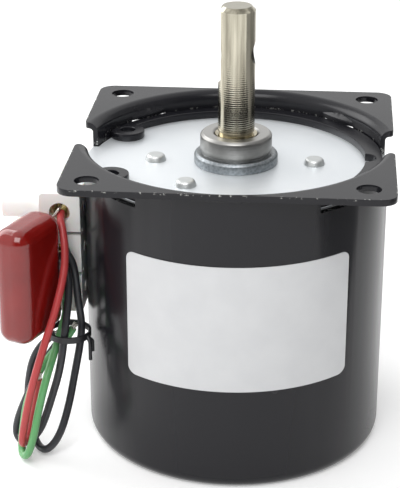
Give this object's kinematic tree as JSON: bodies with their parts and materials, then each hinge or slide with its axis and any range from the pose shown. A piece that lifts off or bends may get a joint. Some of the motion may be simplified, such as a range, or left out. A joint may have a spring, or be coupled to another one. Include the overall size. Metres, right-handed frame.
{
  "type": "synchronous gear motor",
  "caption": "Flange-mounted AC synchronous gear motor: black drawn can, square flange, offset gear train on a plate, D-cut output shaft, terminal block with capacitor and tied leads.",
  "frame": {"origin": "centre of the can's flat floor, on the output shaft's axis", "axes": "+Z along the output shaft, out of the flange; +X away from the terminal block; the label faces -Y"},
  "size_m": [0.0745, 0.06, 0.0858],
  "materials": {
    "black_enamel": "gloss",
    "black_phosphate": "satin",
    "zinc_plate": "satin",
    "bushing_steel": "satin",
    "shaft_steel": "turned",
    "ground_steel": "ground",
    "electrical_steel": "plain",
    "gear_steel": "machined",
    "gear_brass": "machined",
    "bush_bronze": "sintered",
    "terminal_brass": "machined",
    "screw_steel": "zinc plated",
    "white_nylon": "moulded",
    "natural_nylon": "moulded",
    "bobbin_nylon": "moulded",
    "copper_winding": "enamelled",
    "ferrite": "sintered",
    "red_epoxy": "dipped",
    "tinned_wire": "tinned",
    "label_film": "printed film",
    "red_pvc": "extruded",
    "green_pvc": "extruded",
    "black_pvc": "extruded",
    "tie_pvc": "extruded"
  },
  "bodies": {
    "motor": {"can": "black_enamel", "front_plate": "zinc_plate", "retaining_ring": "black_phosphate", "output_bushing": "bushing_steel", "gear_case": "zinc_plate", "gear_arbors": "ground_steel", "plate_pillar": "ground_steel", "arbor_spacers": "screw_steel", "claw_cup_lower": "electrical_steel", "claw_plate_lower": "electrical_steel", "claw_plate_upper": "electrical_steel", "claw_cup_upper": "electrical_steel", "bobbin_lower": "bobbin_nylon", "bobbin_upper": "bobbin_nylon", "winding_lower": "copper_winding", "winding_upper": "copper_winding", "rotor_bush_lower": "bush_bronze", "rotor_bush_upper": "bush_bronze", "terminal_block": "white_nylon", "terminal_inserts": "terminal_brass", "terminal_screws": "screw_steel", "block_screws": "screw_steel", "capacitor": "red_epoxy", "capacitor_legs": "tinned_wire", "label": "label_film", "lead_red": "red_pvc", "lead_green": "green_pvc", "lead_black_1": "black_pvc", "lead_black_2": "black_pvc", "twist_tie": "tie_pvc"},
    "rotor": {"rotor_shaft": "ground_steel", "rotor_hub": "natural_nylon", "rotor_magnet": "ferrite", "rotor_pinion": "gear_brass"},
    "gear_1": {"gear_1_wheel": "gear_brass", "gear_1_pinion": "gear_steel"},
    "gear_2": {"gear_2_wheel": "gear_brass", "gear_2_pinion": "gear_steel"},
    "output": {"output_shaft": "shaft_steel", "output_gear": "gear_steel", "output_washer": "screw_steel", "output_clip": "black_phosphate"}
  },
  "joints": [
    {"name": "rotor_spin", "type": "hinge", "parent": "motor", "child": "rotor", "pos_m": [0, 0, 0.015], "axis": [0, 0, 1], "continuous": true},
    {"name": "gear_1_spin", "type": "hinge", "parent": "motor", "child": "gear_1", "pos_m": [-0.01539, -0.00051, 0.04], "axis": [0, 0, 1], "continuous": true},
    {"name": "gear_2_spin", "type": "hinge", "parent": "motor", "child": "gear_2", "pos_m": [-0.00841, -0.01361, 0.045], "axis": [0, 0, 1], "continuous": true},
    {"name": "output_spin", "type": "hinge", "parent": "motor", "child": "output", "pos_m": [0, 0, 0.06], "axis": [0, 0, 1], "continuous": true}
  ],
  "couplings": [
    {"joint": "gear_1_spin", "follows": "rotor_spin", "ratio": -0.4},
    {"joint": "gear_2_spin", "follows": "rotor_spin", "ratio": 0.2},
    {"joint": "output_spin", "follows": "rotor_spin", "ratio": -0.12}
  ]
}
